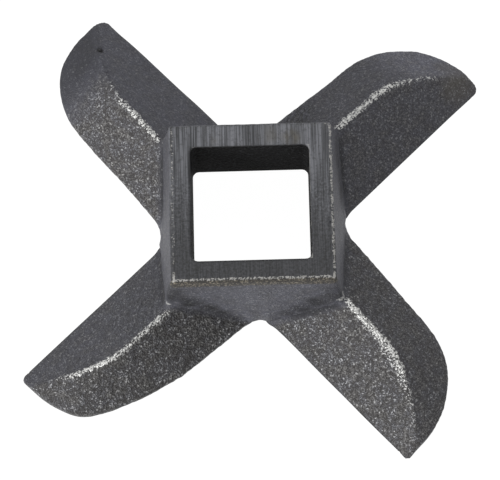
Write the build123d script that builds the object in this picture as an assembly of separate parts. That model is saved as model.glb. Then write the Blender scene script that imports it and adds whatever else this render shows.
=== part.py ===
"""Meat grinder knife: one iron casting with four ridged arms round a square-bored hub.

The knife lies on its cutting side. The origin is on the axis of the bore, in the plane of
the four cutting edges, and +Z points up the bore to the ground face of the hub. The arms
stand over the corners of the hub, and seen from above the knife cuts clockwise.
"""

import os
from math import cos, radians, sin, tan

from build123d import *

# ---- Driving dimensions, millimetres and degrees ----

# Hub and drive hole
bore = 14.0                  # square drive hole, across its flats
bore_corner_radius = 0.8
hub_wall = 2.85              # iron round the bore, at the top of the hub
height = 13.8                # from the cutting edges to the ground face
hub_draft = 7.5              # lean of the hub's four walls
hub_corner_radius = 0.5
rim_radius = 0.4             # worn rim of the ground face

# Arms in plan, each in its own frame: x runs out along the arm, y to its trailing side
arm_count = 4
first_arm = 45.0             # each arm stands over a corner of the hub
reach = 33.4                 # axis to the end of an arm
edge_shoulder = 3.2          # half width of the hub's top beyond the line of the cutting edge
edge_splay = 2.0             # outward turn of the cutting edge
back_shoulder = 1.1          # half width of the hub's top beyond the line of the trailing side
back_taper = 6.6             # inward turn of the trailing side
end_radius = 11.0            # round end of the trailing side
tip_radius = 1.0             # outer corner of the cutting edge

# Arms in section
rake = 40.0                  # slope of the leading face
back_slope = 37.5            # slope of the trailing face
end_slope = 31.0             # slope of the trailing face round the end of the arm
back_edge = 1.5              # top of the blunt trailing edge
arm_rounding = 0.45          # worn ridge and trailing edge
root_radius = 1.0            # fillet where the arms run into the hub

# Underside
land = 5.0                   # flat ground behind each cutting edge
relief_slope = 6.0           # rise of the underside from the land to the trailing edge
hub_lift = 1.3               # underside of the hub, above the cutting edges
lift_step = 1.5              # round hollow up to the hub's underside, beyond the recess
recess_depth = 2.0           # recess round the bore, above the underside of the hub
recess_step = 1.8            # recess beyond the flats of the bore
recess_corner_radius = 2.5
recess_fillet = 0.8

# Working allowances
overrun = 3.0                # cuts run this far past the iron
touch = 0.001                # points this near a face lie on it

# ---- Dependent sizes ----

hub_top = bore + 2 * hub_wall
hub_foot = hub_top + 2 * (height - hub_lift) * tan(radians(hub_draft))
recess = bore + 2 * recess_step
edge_offset = hub_top / 2 - edge_shoulder
back_offset = hub_top / 2 - back_shoulder
arm_width = edge_offset + back_offset

# Direction of the cutting edge, and the level direction in from it across the arm
along_edge = Vector(1, 0, 0).rotate(Axis.Z, -edge_splay)
across_arm = Vector(0, 1, 0).rotate(Axis.Z, -edge_splay)


def rounded_square(size, radius, level):
    """A square face with round corners, centred on the bore at a given level."""
    return Pos(0, 0, level) * RectangleRounded(size, size, radius).face()


def roof_height():
    """A level just above the ridge, which stands highest over the axis of the bore."""
    lead_run = 1 / tan(radians(rake))
    back_run = 1 / tan(radians(back_slope))
    ridge = (arm_width + back_edge * back_run) / (lead_run + back_run)
    return ridge + arm_rounding


def arm_outline(end_inset, back_inset, round_end):
    """Plan of an arm from the axis out, its end and trailing side drawn in by the insets.

    The round end touches both the straight end and the straight trailing side.
    """
    taper = radians(back_taper)
    end_x = reach - end_inset
    back_y = back_offset - back_inset / cos(taper)
    round_x = end_x - round_end
    round_y = back_y - (round_end + round_x * sin(taper)) / cos(taper)
    tip = (end_x, -edge_offset - end_x * tan(radians(edge_splay)))

    corner = CenterArc((round_x, round_y), round_end, 0, 90 - back_taper)
    sides = Polyline(corner @ 1, (0, back_y), (0, -edge_offset), tip, corner @ 0)
    outline = Wire([corner, *sides.edges()])
    sharp_tip = outline.vertices().sort_by_distance(tip)[0]
    return outline.fillet_2d(tip_radius, [sharp_tip])


def leading_plane():
    """Plane of the leading face, which rises inwards from the cutting edge."""
    upward = across_arm * cos(radians(rake)) + Vector(0, 0, 1) * sin(radians(rake))
    return Plane((0, -edge_offset, 0), x_dir=along_edge, z_dir=along_edge.cross(upward))


def worn_edges(arm, leading_face):
    """The ridge down to the tip, on the leading face, and the top of the trailing edge."""
    worn = []
    for edge in arm.edges():
        middle = edge @ 0.5
        on_lead = abs(leading_face.to_local_coords(middle).Z) < touch
        on_back = abs(middle.Z - back_edge) + abs((edge @ 0).Z - back_edge) < touch
        if middle.X > touch and middle.Z > touch and (on_lead or on_back):
            worn.append(edge)
    return worn


def make_arm():
    """One arm in its own frame: a drafted blank, cut off by the leading face."""
    rise = roof_height() - back_edge
    end_inset = rise / tan(radians(end_slope))
    back_inset = rise / tan(radians(back_slope))
    crown_radius = end_radius - (end_inset + back_inset) / 2
    foot = Face(arm_outline(0, 0, end_radius))
    crown = Face(arm_outline(end_inset, back_inset, crown_radius))

    blank = extrude(foot, back_edge)
    blank += loft([Pos(0, 0, back_edge) * foot, Pos(0, 0, roof_height()) * crown], ruled=True)
    leading_face = leading_plane()
    arm = split(blank, bisect_by=leading_face, keep=Keep.BOTTOM)
    return fillet(worn_edges(arm, leading_face), arm_rounding)


def make_relief():
    """Wedge under one arm that lifts all behind its land clear, up to the foot of the hub."""
    section = Plane((0, -edge_offset, 0), x_dir=across_arm, z_dir=along_edge)
    rise = (arm_width - land) * tan(radians(relief_slope))
    outline = Polyline((land, 0), (arm_width, 0), (arm_width, rise), close=True)
    return extrude(section * make_face(outline), reach + overrun)


def round_the_axis(shape):
    """Four copies of an arm or its relief, turned to the corners of the hub."""
    return [Rot(0, 0, first_arm + 360 / arm_count * turn) * shape for turn in range(arm_count)]


def make_hub():
    """Block from the hub's underside to the ground face, its walls leaning out downwards."""
    foot = Pos(0, 0, hub_lift) * Rectangle(hub_foot, hub_foot)
    block = extrude(foot, height - hub_lift, taper=hub_draft)
    corners = [edge for edge in block.edges() if abs((edge @ 0).Z - (edge @ 1).Z) > touch]
    return fillet(corners, hub_corner_radius)


def make_hub_lift():
    """Round hollow that brings the arms up to the hub's underside, inside the lands."""
    return extrude(Circle(recess / 2 + lift_step), hub_lift)


def make_drive_hole():
    """Square bore, and the cast recess round its lower end."""
    hole = extrude(rounded_square(bore, bore_corner_radius, 0), height)
    pocket = extrude(rounded_square(recess, recess_corner_radius, 0), hub_lift + recess_depth)
    pocket = fillet(pocket.faces().sort_by(Axis.Z)[-1].edges(), recess_fillet)
    return hole + pocket


def make_knife():
    """The whole casting, as ground."""
    hub = make_hub()
    arms = round_the_axis(make_arm())
    knife = hub + arms
    meeting = new_edges(hub, *arms, combined=knife)
    roots = [edge for edge in meeting if (edge @ 0.5).Z > hub_lift + touch]
    knife = fillet(roots, root_radius)
    rim = knife.faces().sort_by(Axis.Z)[-1].edges()
    knife = fillet(rim, rim_radius)
    return knife - [*round_the_axis(make_relief()), make_hub_lift(), make_drive_hole()]


os.makedirs("parts", exist_ok=True)
export_step(make_knife(), "parts/grinder_knife.step")
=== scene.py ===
"""Looks of the meat grinder knife: a rough iron casting, worn bright along its ridges, with a
painted highlight there.

Lengths in the tables are millimetres in the knife's own frame, with +Z up the bore.
"""

import math

import bmesh
import bpy
import numpy as np
from mathutils import Matrix, Vector, noise
from mathutils.kdtree import KDTree


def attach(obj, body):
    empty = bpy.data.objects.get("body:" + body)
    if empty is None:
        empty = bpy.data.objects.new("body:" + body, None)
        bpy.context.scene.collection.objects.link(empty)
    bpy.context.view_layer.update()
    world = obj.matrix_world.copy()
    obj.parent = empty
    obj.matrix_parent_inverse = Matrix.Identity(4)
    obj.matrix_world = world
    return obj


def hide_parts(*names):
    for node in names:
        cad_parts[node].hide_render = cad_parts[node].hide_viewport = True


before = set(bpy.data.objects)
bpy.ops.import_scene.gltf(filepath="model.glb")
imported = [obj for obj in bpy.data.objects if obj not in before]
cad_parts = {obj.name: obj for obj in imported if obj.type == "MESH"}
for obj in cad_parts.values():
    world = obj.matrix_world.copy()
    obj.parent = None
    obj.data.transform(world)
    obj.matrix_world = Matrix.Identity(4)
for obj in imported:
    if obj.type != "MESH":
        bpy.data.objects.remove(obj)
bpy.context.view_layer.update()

MM = 0.001
NODE = "grinder_knife"

# ---- Sizes of the knife that the looks follow, in millimetres and degrees ----

HEIGHT = 13.8
BORE_HALF = 7.0
HUB_HALF = 9.85
HUB_DRAFT = math.tan(math.radians(7.5))
EDGE_OFFSET = 6.65
BACK_OFFSET = 8.75
BACK_TAPER = math.radians(6.6)
REACH = 33.4
END_RADIUS = 11.0
EDGE_SPLAY = math.tan(math.radians(2.0))
RAKE = math.tan(math.radians(40.0))
ARM_ANGLES = (45.0, 135.0, 225.0, 315.0)
REAR_LEFT_ARM = 1

# ---- This casting's own shape and wear ----

# Tables with four entries follow the arms in the order of ARM_ANGLES, or the sides of the
# hub in the order +X, +Y, -X, -Y.

# How far each arm's outline stands out of the plain shape, at stations along its leading
# side, one on its straight end, then round its end and in along its trailing side
LEADING_STATIONS = (14.0, 17.0, 20.0, 23.0, 26.0, 29.0, 32.0)
END_ANGLES = (0.0, 16.0, 32.0, 48.0, 64.0, 80.0)
TRAILING_STATIONS = (22.0, 19.0, 16.0, 13.0)
STRAIGHT_END = -6.0
STATION_REACH = 2.3
OUTLINE_FADE = (6.5, 1.5)
OUTLINE_PUSH = (
    (0, 0, 0, 0, 0, 0, 0.10, 0.06, 0, -0.20, -0.18, -0.27, -0.08, 0.09, 0.06, -0.03, 0.05, 0.14),
    (0.16, 0.14, 0, -0.04, -0.08, -0.16, -0.50, 0.18, 0.06, 0.45, 0.85, 0.64, 0.39, 0.14,
     0.05, -0.09, -0.15, -0.15),
    (0, 0, 0, 0.03, 0.04, 0.04, 0.05, -0.10, -0.17, -0.24, -0.02, -0.80, -1.22, -0.90,
     -0.33, 0.06, 0.04, 0.03),
    (-0.10, -0.03, 0, 0, 0.06, 0.06, 0.05, 0.15, 0.13, 0.05, 0.08, 0.14, 0.04, -0.13,
     0.03, 0, 0.05, 0.05),
)

# Strength of the sand grain, with painted glints and sheen, on each arm's leading and trailing
# face
LEADING_GRAIN_AND_GLINTS = (0.65, 0.35, 0.52, 1.15)
TRAILING_GRAIN_AND_GLINTS = (0.45, 1.00, 1.25, 0.85)
HUB_WALL_GRAIN_AND_GLINTS = 0.40

# The end of the rear left arm is smoother than the rest of its trailing face
SMOOTH_END = (24.0, 29.0)
SMOOTH_END_SHARE = 0.8

# How bare the rim of the ground face is worn on each side
RIM_WEAR = (0.95, 0.10, 0.45, 0.92)
RIM_TOP = (HEIGHT - 1.6, HEIGHT - 0.6)

# Corners and knocks where the rim is barest: place, reach and strength
RIM_SPOTS = (
    ((-9.4, -9.4, 13.6), 1.1, 1.35),
    ((9.5, -9.4, 13.6), 1.3, 1.30),
    ((9.6, -3.4, 13.7), 1.3, 1.15),
    ((9.6, 8.8, 13.7), 1.3, 1.10),
)

# How far from the axis the worn line of the rim runs on each side
RIM_LINE = (9.66, 9.60, 9.50, 9.46)

# How far the bore is worn wide on each side, how far past its flats that reaches, and over
# what width one side gives way to the opposite one
BORE_PUSH = (0.07, 0.15, 0.30, 0.18)
BORE_FADE = (BORE_HALF + 1.6, BORE_HALF + 0.3)
BORE_TURN = (-5.0, 5.0)

# Wrinkled skin: place, reach and strength
WRINKLES = (
    ((6.0, 14.4, 2.4), 3.4, 1.0),
    ((1.5, -10.3, 10.0), 1.6, 0.5),
    ((-21.0, -17.5, 3.6), 3.5, 0.45),
    ((-15.0, -11.0, 4.0), 6.0, 0.45),
)

# Painted shade in folds: place, reach and strength
FOLD_SHADE = (
    ((-9.6, -10.2, 11.4), 1.8, 0.50),
    ((-9.4, -10.6, 9.2), 2.2, 0.75),
    ((-7.6, -10.7, 7.6), 2.4, 0.75),
    ((-5.8, -11.0, 5.6), 2.2, 0.75),
    ((-4.2, -11.2, 3.8), 1.8, 0.70),
    ((9.6, -10.3, 10.4), 1.8, 0.45),
    ((9.2, -10.7, 8.2), 2.2, 0.70),
    ((7.4, -10.8, 6.6), 2.2, 0.75),
    ((5.6, -11.0, 4.8), 2.0, 0.70),
    ((4.0, -11.2, 3.4), 1.6, 0.60),
    ((10.9, 4.2, 5.2), 3.6, 0.45),
    ((10.7, 7.2, 7.6), 3.6, 0.45),
)

# Brown stains: place, reach and strength
STAINS = (
    ((26.3, 18.3, 1.7), 3.4, 0.65),
    ((24.8, 20.3, 2.0), 2.0, 0.40),
    ((-4.4, 8.2, 13.8), 1.3, 1.0),
    ((2.0, 8.3, 13.8), 1.8, 0.55),
    ((4.9, 7.9, 13.8), 1.6, 0.80),
)

# Radius of the outer corner of each cutting edge, and how far it stands out
TIP_RADIUS = (1.0, 0.8, 0.8, 0.5)
TIP_PUSH = (0.10, -0.12, 0.0, 0.18)
TIP_PUSH_SHARE = 0.7
TIP_PUSH_REACH = 1.1
TIP_HEIGHT = 1.2             # the corner is cleaned up to this height,
TIP_REACH = 2.6              # this far from its sharp point
TIP_DEPTH = 0.5              # and this deep
FAR_INSIDE = 9.0             # stands for deeper than any point that is moved

# Where the plan turns in from an arm to the foot of a wall, filled in by the casting: place
# and way out at one notch, which the other three repeat
NOTCH_CORNERS = ((-11.5, 0.51, -0.92, -0.38), (-11.5, -1.64, -0.92, 0.38))
NOTCH_FILL = 0.22
NOTCH_REACH = 0.75
NOTCH_FADE = (5.0, 3.0)

# Bare metal along each ridge, partly a painted highlight: place out along the arm, how bare it
# is there, and how far the bare band reaches down the leading and the trailing face
RIDGE_WEAR_AND_HIGHLIGHT = (
    ((15.2, 0.1, 0.24, 0.26), (16.2, 0.95, 0.26, 0.30), (17.5, 1.0, 0.28, 0.36),
     (23.0, 1.0, 0.26, 0.34), (26.0, 0.6, 0.20, 0.25), (29.5, 0.45, 0.20, 0.20),
     (31.0, 0.0, 0.20, 0.20)),
    ((12.0, 0.4, 0.12, 0.25), (14.0, 0.6, 0.12, 0.35), (16.0, 0.8, 0.12, 0.35),
     (20.0, 0.9, 0.12, 0.30), (22.0, 0.6, 0.12, 0.30), (25.0, 0.25, 0.12, 0.30),
     (27.0, 0.0, 0.12, 0.30)),
    ((12.5, 0.7, 0.25, 0.25), (14.0, 0.8, 0.28, 0.28), (17.0, 0.75, 0.26, 0.28),
     (22.0, 0.72, 0.20, 0.26), (26.0, 0.95, 0.18, 0.28), (29.0, 0.8, 0.18, 0.25),
     (30.5, 0.4, 0.18, 0.25), (32.0, 0.0, 0.18, 0.25)),
    ((11.5, 0.9, 0.15, 0.25), (14.5, 1.0, 0.20, 0.25), (17.0, 1.0, 0.45, 0.20),
     (20.0, 1.0, 0.80, 0.20), (23.0, 1.0, 1.20, 0.20), (25.5, 0.9, 1.10, 0.20),
     (27.5, 0.6, 0.70, 0.20), (29.0, 0.4, 0.35, 0.22), (31.0, 0.3, 0.20, 0.20),
     (33.0, 0.1, 0.20, 0.20)),
)

# The crest of the ridges, and the bare band and the brighter line on it, partly painted
# highlight
CREST_STANDING = 0.10
CREST_LEVELS = (2.0, 7.4)
CREST_DEPTH = 0.25
CREST_FADE = (1.0, 2.2)
BAND_WEAR = 0.58
LINE_WEAR = 0.52
LINE_REACH = 0.28

# Bare metal where the ridge of the front right arm runs up to the hub
ROOT_BARE = (
    ((10.85, -9.75, 6.85), 0.50, 0.9),
    ((11.10, -10.20, 6.70), 0.50, 0.9),
    ((11.35, -10.65, 6.60), 0.50, 0.9),
)

# Painted light and shade of the skin: leading faces, trailing faces, ends of arms and hub walls
LEADING_LIGHT_AND_SHADE = (1.20, 1.15, 0.86, 1.10)
TRAILING_LIGHT_AND_SHADE = (1.02, 1.10, 0.82, 1.05)
END_LIGHT_AND_SHADE = (2.05, 0.42, 0.95, 1.00)
HUB_WALL_LIGHT_AND_SHADE = (1.00, 1.00, 0.80, 1.02)
END_OF_ARM = (25.0, 30.0)

# Unevenness of the cast skin: wavelength, seed and height of each noise
SWELLS = ((7.0, 0, 0.10), (2.6, 1, 0.035))
GRAINS = ((0.9, 2, 0.5), (0.5, 3, 0.6))
GRAIN_HEIGHT = 0.10
SMOOTH_SKIN_GRAIN = 0.35     # share of the grain's height that smooth skin keeps
SKIN_FADE = (0.0, 0.8)       # the skin gets uneven over these levels

# Painted shade in creases, folds and pits: from which depth to which, and how strong
CREASE_DEPTHS = (0.08, 0.38)
CREASE_SHADE = 0.8
PIT_DEPTHS = (0.03, 0.2)
FOLD_SHADE_NOISE = (1.6, 4)
FOLD_SHADE_MEAN = 0.85
FOLD_SHADE_VARIATION = 0.5

# Pits and chips: place, radius and depth
DENTS = (
    ((-18.56, 23.68, 3.39), 0.38, 0.35),
    ((-17.9, 21.0, 4.6), 0.25, 0.12),
    ((-17.68, 20.18, 4.87), 0.22, 0.12),
    ((-9.57, 6.69, 13.79), 0.30, 0.25),
    ((9.54, -2.75, 13.8), 0.45, 0.25),
)

# ---- Limits on the mesh ----

REMESH_DEPTH = 8

# Rounds of blurring, which spread over the neighbours of each vertex
CREST_BLUR = 14
CREASE_BLUR = 60
COARSE_BLUR = 3
RIM_BLUR = 3
KIND_BLUR = 2
BORE_BLUR = 1
TONE_BLUR = 8

FOOT_DEPTH = 0.03            # points this low lie on the lands
GROUND_DEPTH = 0.12          # points this near the hub face or the bore lie on it
FLOOR_GAP = 0.03
PATCH_CORE = 0.3             # share of a patch's reach within which it is full
WALL_BAND = (0.7, 0.2)       # a point this far from a hub wall is off it, or on it
LEADING_TURN = (-0.1, -0.4)  # where the faces of an arm turn from trailing to leading

# ---- Lamps: name, azimuth and elevation, then distance and size in metres, and level ----

LAMPS = (
    ("key", 218.0, 24.0, 0.6, 0.22, 1.10),
    ("back", 78.0, 55.0, 0.6, 0.30, 0.25),
)

# ---- Camera fitted to the knife's outline ----

CAMERA_ELEVATION = 74.417
CAMERA_AZIMUTH = 1.306
CAMERA_ROLL = -2.785
CAMERA_DISTANCE = 303.333
FOCAL_PIXELS = 2420.208
IMAGE_WIDTH = 500
IMAGE_CENTRE = (250.0, 240.0)
ORIGIN_PIXEL = (253.03, 233.251)
SENSOR_WIDTH = 36.0


# ---- The mesh ----


def dense_copy(node):
    """An even, dense copy of the casting's mesh, its crisp edges kept."""
    mesh = node.data.copy()
    bm = bmesh.new()
    bm.from_mesh(mesh)
    bmesh.ops.remove_doubles(bm, verts=bm.verts, dist=1e-7)
    bm.to_mesh(mesh)
    bm.free()
    source = bpy.data.objects.new("source", mesh)
    bpy.context.scene.collection.objects.link(source)
    remesh = source.modifiers.new("even", "REMESH")
    remesh.mode = "SHARP"
    remesh.octree_depth = REMESH_DEPTH
    remesh.scale = 0.9
    remesh.sharpness = 1.0
    remesh.use_remove_disconnected = True
    remesh.threshold = 0.5
    graph = bpy.context.evaluated_depsgraph_get()
    dense = bpy.data.meshes.new_from_object(source.evaluated_get(graph))
    bpy.data.objects.remove(source)
    dense.name = "casting"
    casting = bpy.data.objects.new("casting", dense)
    bpy.context.scene.collection.objects.link(casting)
    return casting


def read_points(mesh):
    """Places of the vertices, in millimetres."""
    points = np.zeros(len(mesh.vertices) * 3)
    mesh.vertices.foreach_get("co", points)
    return points.reshape(-1, 3) / MM


def write_points(mesh, points):
    mesh.vertices.foreach_set("co", (points * MM).ravel())
    mesh.update()


def read_normals(mesh):
    normals = np.zeros(len(mesh.vertices) * 3)
    mesh.vertex_normals.foreach_get("vector", normals)
    return normals.reshape(-1, 3)


def read_edges(mesh):
    edges = np.zeros(len(mesh.edges) * 2, np.int32)
    mesh.edges.foreach_get("vertices", edges)
    return edges.reshape(-1, 2)


def blurred(values, edges, rounds):
    """Values at the vertices, averaged with their neighbours a number of times."""
    values = np.atleast_2d(values.T).T.astype(float)
    count = len(values)
    ends = np.concatenate([edges[:, 0], edges[:, 1]])
    others = np.concatenate([edges[:, 1], edges[:, 0]])
    near = np.bincount(ends, minlength=count)[:, None] + 1.0
    for _ in range(rounds):
        total = values.copy()
        for column in range(values.shape[1]):
            total[:, column] += np.bincount(ends, values[others, column], minlength=count)
        values = total / near
    return values


def smooth_step(low, high, values):
    """Values carried from low..high to 0..1, clamped and eased at both ends."""
    t = np.clip((values - low) / (high - low), 0.0, 1.0)
    return t * t * (3.0 - 2.0 * t)


def noise_at(points, wavelength, seed):
    """Smooth noise from about -1 to 1 at each point."""
    shift = Vector((17.3, 41.7, 9.1)) * (seed + 1)
    scale = 1.0 / wavelength
    return np.array([noise.noise(Vector(p) * scale + shift) for p in points])


def noise_sum(points, rows):
    """Sum of noises, each given by its wavelength, seed and height."""
    return sum(noise_at(points, wavelength, seed) * tall for wavelength, seed, tall in rows)


def off_axis(points):
    """Distance of each point from the axis, square to the flats of the bore."""
    return np.abs(points[:, :2]).max(axis=1)


def convexity(points, normals, edges, rounds):
    """How far each vertex stands out of its smoothed surroundings, in millimetres."""
    soft = blurred(points, edges, rounds)
    return np.einsum("ij,ij->i", points - soft, normals)


def arm_frame(points):
    """The nearest arm of each point, and its place out along that arm and across it."""
    angle = np.degrees(np.arctan2(points[:, 1], points[:, 0])) % 360.0
    arm = (angle // 90.0).astype(int) % 4
    turn = np.radians(np.array(ARM_ANGLES)[arm])
    out = points[:, 0] * np.cos(turn) + points[:, 1] * np.sin(turn)
    across = -points[:, 0] * np.sin(turn) + points[:, 1] * np.cos(turn)
    return arm, out, across


def outline_stations():
    """Places round an arm's outline, and the level direction outwards at each."""
    taper = BACK_TAPER
    round_out = REACH - END_RADIUS
    back = BACK_OFFSET
    round_across = back - (END_RADIUS + round_out * math.sin(taper)) / math.cos(taper)

    places = [(out, -EDGE_OFFSET - out * EDGE_SPLAY) for out in LEADING_STATIONS]
    ways = [(0.0, -1.0)] * len(places)
    places.append((REACH, STRAIGHT_END))
    ways.append((1.0, 0.0))
    for angle in map(math.radians, END_ANGLES):
        way = (math.cos(angle), math.sin(angle))
        places.append((round_out + END_RADIUS * way[0], round_across + END_RADIUS * way[1]))
        ways.append(way)
    places += [(out, back - out * math.tan(taper)) for out in TRAILING_STATIONS]
    ways += [(math.sin(taper), math.cos(taper))] * len(TRAILING_STATIONS)
    return np.array(places), np.array(ways)


def level_moves(arm, move_out, move_across):
    """Moves along and across the arms, turned into the knife's own frame."""
    turn = np.radians(np.array(ARM_ANGLES)[arm])
    moves = np.zeros((len(arm), 3))
    moves[:, 0] = move_out * np.cos(turn) - move_across * np.sin(turn)
    moves[:, 1] = move_out * np.sin(turn) + move_across * np.cos(turn)
    return moves


def outline_moves(points):
    """Level moves that bring each arm's outline to this casting's own."""
    arm, out, across = arm_frame(points)
    places, ways = outline_stations()
    gaps = np.hypot(out[:, None] - places[:, 0], across[:, None] - places[:, 1])
    weights = np.exp(-((gaps / STATION_REACH) ** 2)) + 1e-9
    push = np.array(OUTLINE_PUSH)[arm] * weights
    near = smooth_step(*OUTLINE_FADE, gaps.min(axis=1)) / weights.sum(axis=1)
    return level_moves(arm, (push @ ways[:, 0]) * near, (push @ ways[:, 1]) * near)


def leading_share(points, normals):
    """1 on the leading face of an arm, 0 on its other faces."""
    arm = arm_frame(points)[0]
    turn = np.radians(np.array(ARM_ANGLES)[arm])
    facing = -normals[:, 0] * np.sin(turn) + normals[:, 1] * np.cos(turn)
    return smooth_step(*LEADING_TURN, facing)


def hub_wall_share(points):
    """1 on the four walls of the hub."""
    wall = HUB_HALF + (HEIGHT - points[:, 2]) * HUB_DRAFT
    return smooth_step(*WALL_BAND, np.abs(off_axis(points) - wall))


def grain_and_glint_strength(points, normals):
    """How coarse the cast skin is, face by face, with painted glints where coarse and a painted
    sheen where smooth.
    """
    arm, out, _ = arm_frame(points)
    leading = leading_share(points, normals)
    trailing_grain_and_glints = np.array(TRAILING_GRAIN_AND_GLINTS)[arm]
    smooth_end = np.where(arm == REAR_LEFT_ARM, smooth_step(*SMOOTH_END, out), 0.0)
    trailing_grain_and_glints = trailing_grain_and_glints * (1.0 - SMOOTH_END_SHARE * smooth_end)
    grain = leading * np.array(LEADING_GRAIN_AND_GLINTS)[arm] + (1.0 - leading) * trailing_grain_and_glints
    wall = hub_wall_share(points)
    return grain * (1.0 - wall) + HUB_WALL_GRAIN_AND_GLINTS * wall


def painted_light_by_face(points, normals):
    """Painted light and shade of the cast skin, face by face."""
    arm, out, _ = arm_frame(points)
    leading = leading_share(points, normals)
    end = smooth_step(*END_OF_ARM, out)
    trailing_light_and_shade = np.array(TRAILING_LIGHT_AND_SHADE)[arm] * (1.0 - end) + np.array(END_LIGHT_AND_SHADE)[arm] * end
    tone = leading * np.array(LEADING_LIGHT_AND_SHADE)[arm] + (1.0 - leading) * trailing_light_and_shade
    wall = hub_wall_share(points)
    return tone * (1.0 - wall) + np.array(HUB_WALL_LIGHT_AND_SHADE)[hub_side(points)] * wall


def crest_distance(points, standing):
    """Distance of each point from the nearest crest of a ridge."""
    low, high = CREST_LEVELS
    z = points[:, 2]
    crest = np.flatnonzero((standing > CREST_STANDING) & (z > low) & (z < high))
    tree = KDTree(len(crest))
    for index in crest:
        tree.insert(Vector(points[index]), int(index))
    tree.balance()
    return np.array([tree.find(Vector(p))[2] for p in points])


def ridge_wear_and_highlight(points, standing):
    """How bare each vertex is worn, partly a painted highlight, from its distance to the ridge
    and its place along it.
    """
    arm, out, across = arm_frame(points)
    z = points[:, 2]
    depth = (EDGE_OFFSET + across + out * EDGE_SPLAY) * RAKE - z
    bare = np.zeros(len(points))
    reach = np.ones(len(points))
    for number, rows in enumerate(RIDGE_WEAR_AND_HIGHLIGHT):
        places, amounts, down_leading, down_trailing = zip(*rows)
        mine = arm == number
        bare[mine] = np.interp(out[mine], places, amounts)
        leading = mine & (depth <= CREST_DEPTH)
        trailing = mine & (depth > CREST_DEPTH)
        reach[leading] = np.interp(out[leading], places, down_leading)
        reach[trailing] = np.interp(out[trailing], places, down_trailing)
    distance = crest_distance(points, standing)
    band = np.exp(-((distance / reach) ** 4)) * BAND_WEAR
    line = np.exp(-((distance / LINE_REACH) ** 2)) * LINE_WEAR
    return bare * (band + line) * smooth_step(*CREST_FADE, z)


def hub_side(points):
    """The side of the hub that each point is nearest: +X, +Y, -X or -Y."""
    x, y = points[:, 0], points[:, 1]
    return np.argmax(np.stack([x, y, -x, -y]), axis=0)


def rim_wear(points):
    """How bare the nearest side of the hub's rim is."""
    top = smooth_step(*RIM_TOP, points[:, 2])
    return np.array(RIM_WEAR)[hub_side(points)] * top


def bore_moves(points):
    """Level moves that bring the walls of the bore to where they are worn."""
    x, y = points[:, 0], points[:, 1]
    east, north, west, south = BORE_PUSH
    near = smooth_step(*BORE_FADE, off_axis(points))
    across = smooth_step(*BORE_TURN, x)
    along = smooth_step(*BORE_TURN, y)
    moves = np.zeros_like(points)
    moves[:, 0] = near * (across * east - (1.0 - across) * west)
    moves[:, 1] = near * (along * north - (1.0 - along) * south)
    return moves


def notch_moves(points):
    """Level moves that round off the corners of the four notches between the arms."""
    moves = np.zeros_like(points)
    low = smooth_step(*NOTCH_FADE, points[:, 2])
    for quarter in range(4):
        turn = complex(math.cos(quarter * math.pi / 2), math.sin(quarter * math.pi / 2))
        for x, y, out_x, out_y in NOTCH_CORNERS:
            corner, outward = complex(x, y) * turn, complex(out_x, out_y) * turn
            gap = np.hypot(points[:, 0] - corner.real, points[:, 1] - corner.imag)
            push = NOTCH_FILL * np.exp(-((gap / NOTCH_REACH) ** 2)) * low
            moves[:, 0] += push * outward.real
            moves[:, 1] += push * outward.imag
    return moves


def on_lower_edge(points, edges):
    """True for the vertices of the knife's foot that have a neighbour standing above it."""
    low = points[:, 2] < FOOT_DEPTH
    highest = points[:, 2].copy()
    for start, end in ((0, 1), (1, 0)):
        np.maximum.at(highest, edges[:, start], points[edges[:, end], 2])
    return low & (highest > FOOT_DEPTH)


def tip_moves(points, edges):
    """Level moves that make each outer corner a clean arc, as far out as on this casting."""
    arm, out, across = arm_frame(points)
    radius = np.array(TIP_RADIUS)[arm]
    from_end = REACH - out
    from_edge = across + EDGE_OFFSET + out * EDGE_SPLAY
    gap = np.hypot(from_end, across + EDGE_OFFSET + REACH * EDGE_SPLAY)

    # Depth inside the end and its corner, and inside the leading plane
    to_end, to_edge = radius - from_end, radius - from_edge
    corner = (to_end > 0.0) & (to_edge > 0.0)
    far = np.where(corner, np.hypot(to_end, to_edge), 1.0)
    in_end = np.where(corner, radius - far, np.where(to_end > 0.0, from_end, FAR_INSIDE))
    in_edge = from_edge - points[:, 2] / RAKE
    depth = np.minimum(in_end, in_edge)

    face = (points[:, 2] > FOOT_DEPTH) & (points[:, 2] < TIP_HEIGHT)
    face |= on_lower_edge(points, edges)
    ragged = face & (gap < TIP_REACH) & (depth < TIP_DEPTH)
    by_end = in_end < in_edge
    move_end = np.where(corner, to_end / far, 1.0) * depth * by_end * ragged
    move_edge = np.where(by_end, np.where(corner, to_edge / far, 0.0), 1.0) * depth * ragged
    near = np.exp(-((gap / TIP_PUSH_REACH) ** 2))
    push = TIP_PUSH_SHARE * np.array(TIP_PUSH)[arm] * near
    return level_moves(arm, move_end + push, -(move_edge + push))


def patches(points, table):
    """Share of each point in the patches of a table of places, reaches and strengths."""
    share = np.zeros(len(points))
    for place, reach, strength in table:
        gaps = np.linalg.norm(points - np.array(place), axis=1)
        share = np.maximum(share, strength * smooth_step(reach, PATCH_CORE * reach, gaps))
    return share


def dent_depth(points):
    """How deep each point lies in a pit or chip."""
    depth = np.zeros(len(points))
    for place, radius, deep in DENTS:
        gaps = np.linalg.norm(points - np.array(place), axis=1)
        depth = np.maximum(depth, deep * np.exp(-((gaps / radius) ** 2)))
    return depth


def surface_kinds(points):
    """Shares of the ground hub face, the bore, the ground lands and the cast skin."""
    hub_face = (points[:, 2] > HEIGHT - GROUND_DEPTH).astype(float)
    in_bore = off_axis(points) < BORE_HALF + GROUND_DEPTH
    bore = (in_bore & (points[:, 2] < HEIGHT - GROUND_DEPTH)).astype(float)
    lands = (points[:, 2] < FOOT_DEPTH).astype(float)
    return hub_face, bore, lands, 1.0 - np.clip(hub_face + bore + lands, 0.0, 1.0)


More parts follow.
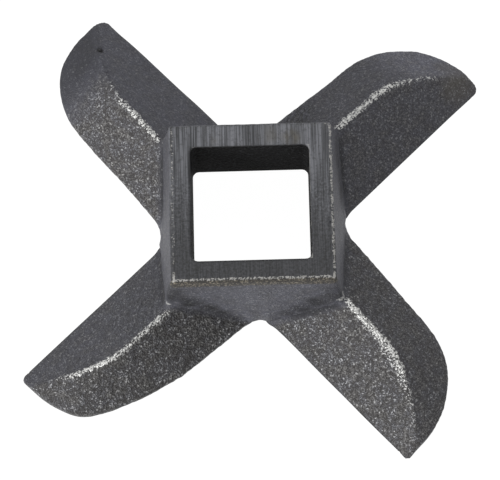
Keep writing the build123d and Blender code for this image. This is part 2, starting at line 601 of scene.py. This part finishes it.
def painted_shade_share(points, normals, edges, hub_face, dents):
    """How dark each point is painted with shade: in creases, folds and pits."""
    sunken = -convexity(points, normals, edges, CREASE_BLUR)
    crease = smooth_step(*CREASE_DEPTHS, sunken) * CREASE_SHADE
    uneven = FOLD_SHADE_MEAN + noise_at(points, *FOLD_SHADE_NOISE) * FOLD_SHADE_VARIATION
    fold_shade = patches(points, FOLD_SHADE) * (1.0 - hub_face) * uneven
    crease = np.clip(np.maximum(crease, fold_shade), 0.0, 1.0)
    return np.maximum(crease, smooth_step(*PIT_DEPTHS, dents))


def set_attribute(mesh, name, values):
    attribute = mesh.attributes.new(name, "FLOAT", "POINT")
    attribute.data.foreach_set("value", np.asarray(values, np.float32))


def build_casting():
    """The casting's mesh, moved to its own shape, with what the material reads on it."""
    casting = dense_copy(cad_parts[NODE])
    mesh = casting.data
    points, normals, edges = read_points(mesh), read_normals(mesh), read_edges(mesh)
    hub_face, bore, lands, cast = surface_kinds(points)
    # Bare band along the ridges, partly a painted highlight
    wear_and_highlight = ridge_wear_and_highlight(points, convexity(points, normals, edges, CREST_BLUR))
    wear_and_highlight = np.maximum(wear_and_highlight, patches(points, ROOT_BARE))
    # Grain strength face by face, which also sets painted glints and a painted sheen
    coarse_and_glinting = blurred(grain_and_glint_strength(points, normals), edges, COARSE_BLUR)[:, 0]
    dents = dent_depth(points)

    # Uneven skin, fading out towards the ground and broached faces
    uneven = np.minimum(cast, blurred(cast, edges, KIND_BLUR)[:, 0])
    uneven = uneven * smooth_step(*SKIN_FADE, points[:, 2])
    strength = SMOOTH_SKIN_GRAIN + (1.0 - SMOOTH_SKIN_GRAIN) * coarse_and_glinting
    grain = noise_sum(points, GRAINS) * GRAIN_HEIGHT * strength
    depth = noise_sum(points, SWELLS) + grain
    moves = outline_moves(points) + bore_moves(points)
    moves += notch_moves(points) + tip_moves(points, edges)
    write_points(mesh, points + moves + normals * (depth * uneven - dents)[:, None])

    rim = blurred(rim_wear(points), edges, RIM_BLUR)[:, 0]
    rim = np.maximum(rim, patches(points, RIM_SPOTS))
    # Painted light and shade, face by face
    tone = blurred(painted_light_by_face(points, normals), edges, TONE_BLUR)[:, 0]
    # Painted shade: darker in creases, folds and pits
    dirt_and_shade = painted_shade_share(points, normals, edges, hub_face, dents)
    set_attribute(mesh, "ridge", wear_and_highlight * cast)
    set_attribute(mesh, "rim", rim)
    set_attribute(mesh, "coarse_and_glinting", coarse_and_glinting)
    set_attribute(mesh, "rim_line", np.array(RIM_LINE)[hub_side(points)])
    set_attribute(mesh, "wrinkle", patches(points, WRINKLES))
    set_attribute(mesh, "stain", patches(points, STAINS))
    set_attribute(mesh, "tone", tone)
    set_attribute(mesh, "hollow_shade", dirt_and_shade)
    set_attribute(mesh, "ground", np.maximum(hub_face, lands))
    set_attribute(mesh, "bore", blurred(bore, edges, BORE_BLUR)[:, 0])
    mesh.shade_smooth()
    return casting


# ---- Materials ----


class Nodes:
    """Short calls that add nodes to a material or world and link them."""

    def __init__(self, tree):
        self.tree = tree
        tree.nodes.clear()

    def add(self, kind, inputs=None, **settings):
        node = self.tree.nodes.new("ShaderNode" + kind)
        for name, value in settings.items():
            setattr(node, name, value)
        for name, value in (inputs or {}).items():
            self.put(node.inputs[name], value)
        return node

    def put(self, socket, value):
        if isinstance(value, bpy.types.NodeSocket):
            self.tree.links.new(value, socket)
        elif isinstance(value, bpy.types.Node):
            self.tree.links.new(value.outputs[0], socket)
        else:
            socket.default_value = value

    def math(self, operation, *values, clamp=False):
        return self.add("Math", dict(enumerate(values)), operation=operation, use_clamp=clamp)

    def add_up(self, *values):
        total = values[0]
        for value in values[1:]:
            total = self.math("ADD", total, value)
        return total

    def times(self, *values):
        product = values[0]
        for value in values[1:]:
            product = self.math("MULTIPLY", product, value)
        return product

    def larger(self, first, second):
        return self.math("MAXIMUM", first, second)

    def less(self, first, second):
        return self.math("SUBTRACT", first, second)

    def attribute(self, name):
        return self.add("Attribute", attribute_name=name).outputs["Fac"]

    def spread(self, value, low, high):
        """Value carried from low..high to 0..1 and clamped."""
        inputs = {"Value": value, "From Min": low, "From Max": high}
        return self.add("MapRange", inputs, interpolation_type="SMOOTHSTEP").outputs["Result"]

    def mix(self, share, first, second):
        node = self.add("Mix", data_type="RGBA")
        self.put(node.inputs["Factor"], share)
        self.put(node.inputs[6], first)
        self.put(node.inputs[7], second)
        return node.outputs[2]

    def band(self, value, centre, outer, inner):
        """1 within inner of the centre, falling to 0 at outer."""
        return self.spread(self.math("ABSOLUTE", self.less(value, centre)), outer, inner)

    def valued(self, colour, value):
        """Colour made lighter or darker by a factor."""
        return self.add("HueSaturation", {"Value": value, "Color": colour})

    def noise(self, place, wavelength, detail=2.0, roughness=0.5):
        """Noise with a wavelength in millimetres."""
        inputs = {"Vector": place, "Scale": 1.0 / (wavelength * MM), "Detail": detail,
                  "Roughness": roughness}
        return self.add("TexNoise", inputs).outputs["Fac"]

    def streaks(self, place, across, along, detail, roughness, turn=0.0):
        """Noise stretched to across by along millimetres, and turned about +Z."""
        scale = (1.0 / (across * MM), 1.0 / (along * MM), 1.0 / (across * MM))
        inputs = {"Vector": place, "Rotation": (0, 0, turn), "Scale": scale}
        return self.noise(self.add("Mapping", inputs), 1.0 / MM, detail, roughness)

    def grains(self, place, size):
        """Rounded grains of a size in millimetres, from 0 between them to 1 on top."""
        inputs = {"Vector": place, "Scale": 1.0 / (size * MM)}
        cells = self.add("TexVoronoi", inputs, feature="F1").outputs["Distance"]
        return self.math("SUBTRACT", 1.0, cells, clamp=True)

    def seen_directly(self):
        """1 for camera, glossy and transmission rays, 0 for those that only light."""
        path = self.add("LightPath").outputs
        seen = self.larger(path["Is Camera Ray"], path["Is Glossy Ray"])
        return self.larger(seen, path["Is Transmission Ray"])


def grey(value, red=1.0, blue=1.0):
    """A grey, with more or less red and blue."""
    return (value * red, value, value * blue, 1.0)


# Colours of the iron; where there are two, a noise or the wear carries the first to the second
# Smooth skin is painted blue grey, a painted sheen
SMOOTH_SKIN_AND_SHEEN = grey(0.044, 0.97, 1.33), grey(0.058, 0.97, 1.33)
LOW_SKIN = grey(0.017, 1.1, 1.0), grey(0.026, 1.1, 1.0)
HIGH_SKIN = grey(0.110, 1.03, 0.98), grey(0.085, 0.98, 1.12)
SKIN_STAIN = grey(0.075, 1.12, 0.78)
# Colour of the painted shade in creases, folds, pits and wrinkle grooves
SKIN_SHADE = grey(0.014)
# Bare iron of worn grains and ridges; partly painted glints and a painted highlight
WORN_IRON = grey(0.46), grey(0.58, 1.0, 0.97)
GROUND_IRON = grey(0.022, 0.96, 1.10), grey(0.172, 0.98, 1.10)
GROUND_STAIN = grey(0.060, 1.14, 0.72)
GROUND_DIRT = grey(0.016)
RUST = grey(0.014, 1.15, 0.8), grey(0.150, 1.15, 0.75)
# Near black bore: painted shade deep in the bore
BORE_PAINTED_SHADE = grey(0.004), grey(0.024, 1.0, 1.1)
RIM_IRON = grey(0.31, 1.02, 0.96)

# Sizes of the grain, in millimetres
GRIT_SIZE = 0.20
SAND_SIZE = 0.46
BLOB_SIZE = 0.60
PATCH_SIZE = 1.6
CLUSTER_SIZE = 1.3
DIRT_SIZE = 0.45
MOTTLE_SIZE = 0.30

# Shares of the fine grit and the rounded sand in the height of the grain
GRIT_SHARE = 0.52
SAND_SHARE = 0.48

# Heights from which, and by which fully, iron is bare, and how bare it gets. They are heights
# of the grain, or at the lip of the bore levels of the patches
SPECK_HEIGHTS = (0.88, 1.10)
SPECK_SHARE = 0.45
BLOB_HEIGHTS = (0.72, 0.84)
BLOB_SHARE = 0.55
RIDGE_HEIGHTS = (0.66, 1.16)
RIDGE_LIFT = 0.50
RIM_HEIGHTS = (0.72, 1.12)
RIM_LIFT = 0.48
LIP_HEIGHTS = (0.75, 0.95)
LIP_LIFT = 0.3
LIP_SHARE = 0.5

# Strength of stains, rust, wrinkles, and of the painted shade towards -Y on the ground face
SKIN_STAIN_SHARE = 0.7
GROUND_STAIN_SHARE = 0.8
RUST_SHARE = 0.9
WRINKLE_SHARE = 0.7
GROUND_PAINTED_SHADE = 0.68

# Shine of the iron: cast, bare, and how much duller the bore and the hollows with painted shade
# are
CAST_ROUGHNESS = 0.62
BARE_POLISH = 0.2
BARE_METAL = 0.5
IRON_SHINE = 0.4
BORE_DULLING = 0.385
HOLLOW_DULLING = 0.32

# Bump depths of the skin and of the scratches, in millimetres
SKIN_BUMP = 0.16
SCRATCH_BUMP = 0.02

# Worn lines: half widths where they fade out and where they are full, and the lip's place
RIM_LINE_BAND = (0.26 * MM, 0.06 * MM)
LIP_LINE = 7.06 * MM
LIP_BAND = (0.14 * MM, 0.03 * MM)

# Between which places the ground face gets dirtier and darker with painted shade, and where
# the rusty band runs under the rim of the -Y wall
DIRT_AND_SHADE_SIDE = (7.2 * MM, -8.0 * MM)
RUST_DEPTH = (-9.45 * MM, -9.6 * MM)
RUST_LEVEL = (12.3 * MM, 12.9 * MM)


def grain_height(n, place):
    """Height of the sand grain: fine grit with rounded grains in it."""
    grit = n.spread(n.noise(place, GRIT_SIZE, 1.5, 0.6), 0.30, 0.70)
    sand = n.grains(place, SAND_SIZE)
    return n.add_up(n.times(grit, GRIT_SHARE), n.times(sand, SAND_SHARE))


def skin_wrinkles(n, place):
    """Slanting wrinkles where the skin is marked as wrinkled."""
    lines = n.streaks(place, 0.45, 2.4, 2.0, 0.5, math.radians(55.0))
    return n.times(n.spread(lines, 0.54, 0.42), n.attribute("wrinkle"), WRINKLE_SHARE)


def skin_colour(n, coarse_and_glinting, height, patch, dark):
    """Cast skin: blue grey with a painted sheen where smooth, browner where coarse, darker
    between the grains.
    """
    smooth_skin_and_sheen = n.mix(n.spread(patch, 0.3, 0.7), *SMOOTH_SKIN_AND_SHEEN)
    patchy = n.spread(patch, 0.4, 0.6)
    low_skin, high_skin = n.mix(patchy, *LOW_SKIN), n.mix(patchy, *HIGH_SKIN)
    coarse_skin = n.mix(n.spread(height, 0.25, 0.80), low_skin, high_skin)
    skin = n.mix(n.math("MINIMUM", coarse_and_glinting, 1.0), smooth_skin_and_sheen, coarse_skin)
    # Painted light and shade: each face made lighter or darker
    skin = n.valued(skin, n.attribute("tone"))
    skin = n.mix(n.times(n.attribute("stain"), SKIN_STAIN_SHARE), skin, SKIN_STAIN)
    return n.mix(dark, skin, SKIN_SHADE)


def bare_grains(n, place, coarse_and_glinting, height, patch):
    """High grains worn to bare iron, singly and here and there in clusters; face by face partly
    painted glints.
    """
    cluster = n.spread(n.noise(place, CLUSTER_SIZE, 2.0, 0.6), 0.52, 0.66)
    tops = n.spread(n.grains(place, BLOB_SIZE), *BLOB_HEIGHTS)
    high = n.add_up(height, n.times(patch, 0.40))
    specks = n.times(n.spread(high, *SPECK_HEIGHTS), coarse_and_glinting, SPECK_SHARE)
    return n.larger(specks, n.times(tops, cluster, coarse_and_glinting, BLOB_SHARE))


def bare_and_highlit_ridges(n, height):
    """Ridges worn to bare iron, first on their high grains, partly a painted highlight."""
    ridge = n.attribute("ridge")
    worn = n.spread(n.add_up(height, n.times(ridge, RIDGE_LIFT)), *RIDGE_HEIGHTS)
    return n.times(worn, n.spread(ridge, 0.03, 0.25))


def bare_rims(n, square, height, patch, ground):
    """Rim of the ground face and lip of the bore, worn bright in a broken line."""
    rim = n.attribute("rim")
    line = n.band(square, n.times(n.attribute("rim_line"), MM), *RIM_LINE_BAND)
    worn = n.spread(n.add_up(height, n.times(line, rim, RIM_LIFT)), *RIM_HEIGHTS)
    worn = n.times(worn, n.spread(n.times(line, rim), 0.02, 0.15))
    lip = n.times(n.band(square, LIP_LINE, *LIP_BAND), LIP_LIFT)
    lip_worn = n.spread(n.add_up(patch, lip), *LIP_HEIGHTS)
    return n.larger(worn, n.times(lip_worn, ground, LIP_SHARE))


def ground_colour(n, place, y, scratches, dirt_and_shade):
    """Ground iron, scratched by the stone, dirtier towards -Y and darker there with painted
    shade.
    """
    streaked = n.times(n.streaks(place, 0.55, 12.0, 2.0, 0.5), 0.45)
    streaked = n.add_up(n.times(scratches, 0.55), streaked)
    mottled = n.times(n.noise(place, MOTTLE_SIZE, 3.0, 0.7), 0.6)
    mottled = n.add_up(mottled, n.times(scratches, 0.4))
    dirty_and_shaded = n.spread(y, *DIRT_AND_SHADE_SIDE)
    tone = n.mix(n.times(n.spread(dirty_and_shaded, 0.0, 0.35), 0.75), streaked, mottled)
    ground = n.mix(n.spread(tone, 0.36, 0.66), *GROUND_IRON)

    blotches = n.spread(n.streaks(place, 1.3, 4.0, 3.0, 0.6), 0.35, 0.6)
    stained = n.times(n.attribute("stain"), blotches, GROUND_STAIN_SHARE)
    ground = n.mix(stained, ground, GROUND_STAIN)
    # Painted shade: the ground face darker towards -Y
    ground = n.valued(ground, n.less(1.0, n.times(dirty_and_shaded, GROUND_PAINTED_SHADE)))
    dark = n.times(n.spread(dirt_and_shade, 0.50, 0.66), n.add_up(n.times(dirty_and_shaded, 0.4), 0.45))
    return n.mix(dark, ground, GROUND_DIRT)


def rusted(n, colour, y, z, height):
    """Colour with the rusty band on it that runs under the rim of the -Y wall."""
    band = n.times(n.spread(y, *RUST_DEPTH), n.spread(z, *RUST_LEVEL), RUST_SHARE)
    return n.mix(band, colour, n.mix(n.spread(height, 0.45, 0.85), *RUST))


def iron_normal(n, coarse_and_glinting, height, wrinkles, ground, scratches):
    """Grain in relief on the cast skin, and fine scratches on the ground faces."""
    lift = n.times(height, n.add_up(n.times(coarse_and_glinting, 0.8), 0.2))
    lift = n.less(lift, wrinkles)
    skin = n.add("Bump", {"Strength": 1.0, "Distance": SKIN_BUMP * MM, "Height": lift})
    scratched = n.add("Bump", {"Strength": 0.35, "Distance": SCRATCH_BUMP * MM,
                               "Height": scratches})
    normal = n.add("Mix", {"Factor": ground}, data_type="VECTOR")
    n.put(normal.inputs[4], skin.outputs["Normal"])
    n.put(normal.inputs[5], scratched.outputs["Normal"])
    return normal.outputs[1]


def iron_material():
    """Cast iron: dark grainy skin, bare where it is worn, with ground faces."""
    material = bpy.data.materials.new("cast_iron")
    material.use_nodes = True
    n = Nodes(material.node_tree)
    place = n.add("TexCoord").outputs["Object"]
    x, y, z = n.add("SeparateXYZ", {"Vector": place}).outputs
    square = n.larger(n.math("ABSOLUTE", x), n.math("ABSOLUTE", y))
    coarse_and_glinting, hollow_shade, ground, bore = map(n.attribute, ("coarse_and_glinting", "hollow_shade", "ground", "bore"))
    height = grain_height(n, place)
    patch = n.noise(place, PATCH_SIZE, 3.0, 0.6)
    dirt_and_shade = n.noise(place, DIRT_SIZE, 4.0, 0.7)
    scratches = n.streaks(place, 0.13, 7.0, 3.0, 0.6)
    wrinkles = skin_wrinkles(n, place)

    worn = bare_and_highlit_ridges(n, height)
    cast_bright = n.larger(bare_grains(n, place, coarse_and_glinting, height, patch), worn)
    rim_bright = bare_rims(n, square, height, patch, ground)
    # The skin is darkened with painted shade in creases, folds, pits and wrinkle grooves
    colour = skin_colour(n, coarse_and_glinting, height, patch, n.larger(hollow_shade, wrinkles))
    colour = n.mix(cast_bright, colour, n.mix(worn, *WORN_IRON))
    colour = n.mix(ground, colour, ground_colour(n, place, y, scratches, dirt_and_shade))
    colour = rusted(n, colour, y, z, height)
    # Painted shade: the bore walls near black, unevenly
    colour = n.mix(bore, colour, n.mix(n.spread(dirt_and_shade, 0.45, 0.7), *BORE_PAINTED_SHADE))
    colour = n.mix(rim_bright, colour, RIM_IRON)

    bright = n.larger(n.times(cast_bright, n.less(1.0, ground)), rim_bright)
    bare = n.times(bright, n.less(1.0, bore))
    dull = n.larger(n.times(bore, BORE_DULLING), n.times(hollow_shade, HOLLOW_DULLING))
    shader = n.add("BsdfPrincipled", {
        "Base Color": colour,
        "Metallic": n.times(bare, BARE_METAL),
        "Roughness": n.less(CAST_ROUGHNESS, n.times(bare, BARE_POLISH)),
        "Specular IOR Level": n.less(IRON_SHINE, dull),
        "Normal": iron_normal(n, coarse_and_glinting, height, wrinkles, ground, scratches),
    })
    n.add("OutputMaterial", {"Surface": shader})
    return material


# ---- Stage, light and camera ----


# White of the paper under the knife and of the studio round it
PAPER_GLOW = 1.10
PAPER_SHARE = 0.90
STUDIO_LIGHT = 0.40


def white_to_the_eye(n, plain, share):
    """Shows a share of plain white to camera, glossy and transmission rays."""
    white = n.add("Emission", {"Color": (1, 1, 1, 1), "Strength": PAPER_GLOW})
    return n.add("MixShader", {0: n.times(n.seen_directly(), share), 1: plain, 2: white})


def make_floor():
    bm = bmesh.new()
    bmesh.ops.create_circle(bm, cap_ends=True, segments=64, radius=1.5)
    mesh = bpy.data.meshes.new("floor")
    bm.to_mesh(mesh)
    bm.free()
    floor = bpy.data.objects.new("floor", mesh)
    floor.location.z = -FLOOR_GAP * MM
    bpy.context.scene.collection.objects.link(floor)
    material = bpy.data.materials.new("floor")
    material.use_nodes = True
    n = Nodes(material.node_tree)
    paper = n.add("BsdfDiffuse", {"Color": (0.9, 0.9, 0.9, 1)})
    n.add("OutputMaterial", {"Surface": white_to_the_eye(n, paper, PAPER_SHARE)})
    mesh.materials.append(material)
    return floor


def make_world():
    world = bpy.data.worlds.new("studio")
    bpy.context.scene.world = world
    world.use_nodes = True
    n = Nodes(world.node_tree)
    soft = n.add("Background", {"Color": (1, 1, 1, 1), "Strength": STUDIO_LIGHT})
    white = n.add("Background", {"Color": (1, 1, 1, 1), "Strength": 1.0})
    mixed = n.add("MixShader", {0: n.seen_directly(), 1: soft, 2: white})
    n.add("OutputWorld", {"Surface": mixed})


def make_lamp(name, azimuth, elevation, distance, size, level):
    """A square softbox aimed at the hub, as bright there as white paper times level.

    Azimuth runs from +X towards +Y.
    """
    data = bpy.data.lights.new(name, "AREA")
    data.shape = "SQUARE"
    data.size = size
    data.energy = level * math.pi * math.pi * distance * distance
    lamp = bpy.data.objects.new(name, data)
    a, e = math.radians(azimuth), math.radians(elevation)
    level_distance = distance * math.cos(e)
    lamp.location = (level_distance * math.cos(a), level_distance * math.sin(a),
                     distance * math.sin(e))
    lamp.rotation_euler = Vector(lamp.location).to_track_quat("Z", "Y").to_euler()
    bpy.context.scene.collection.objects.link(lamp)
    return lamp


def make_camera():
    """The photo's camera, placed so that the origin falls on its pixel of the photo."""
    azimuth, elevation = math.radians(CAMERA_AZIMUTH), math.radians(CAMERA_ELEVATION)
    roll = math.radians(CAMERA_ROLL)
    back = Vector((math.sin(azimuth) * math.cos(elevation),
                   -math.cos(azimuth) * math.cos(elevation), math.sin(elevation)))
    level = Vector((math.cos(azimuth), math.sin(azimuth), 0.0))
    upright = back.cross(level)
    right = level * math.cos(roll) + upright * math.sin(roll)
    up = -level * math.sin(roll) + upright * math.cos(roll)
    aside = (ORIGIN_PIXEL[0] - IMAGE_CENTRE[0]) / FOCAL_PIXELS * CAMERA_DISTANCE
    above = -(ORIGIN_PIXEL[1] - IMAGE_CENTRE[1]) / FOCAL_PIXELS * CAMERA_DISTANCE
    data = bpy.data.cameras.new("camera")
    data.sensor_width = SENSOR_WIDTH
    data.lens = FOCAL_PIXELS / IMAGE_WIDTH * SENSOR_WIDTH
    data.clip_start = 0.01
    camera = bpy.data.objects.new("camera", data)
    place = (CAMERA_DISTANCE * back - aside * right - above * up) * MM
    turn = Matrix((right, up, back)).transposed().to_4x4()
    camera.matrix_world = Matrix.Translation(place) @ turn
    bpy.context.scene.collection.objects.link(camera)
    bpy.context.scene.camera = camera


casting = build_casting()
casting.data.materials.clear()
casting.data.materials.append(iron_material())
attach(casting, "root")
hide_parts(NODE)

make_floor()
make_world()
for lamp_settings in LAMPS:
    make_lamp(*lamp_settings)
make_camera()
bpy.context.scene.view_settings.view_transform = "Standard"
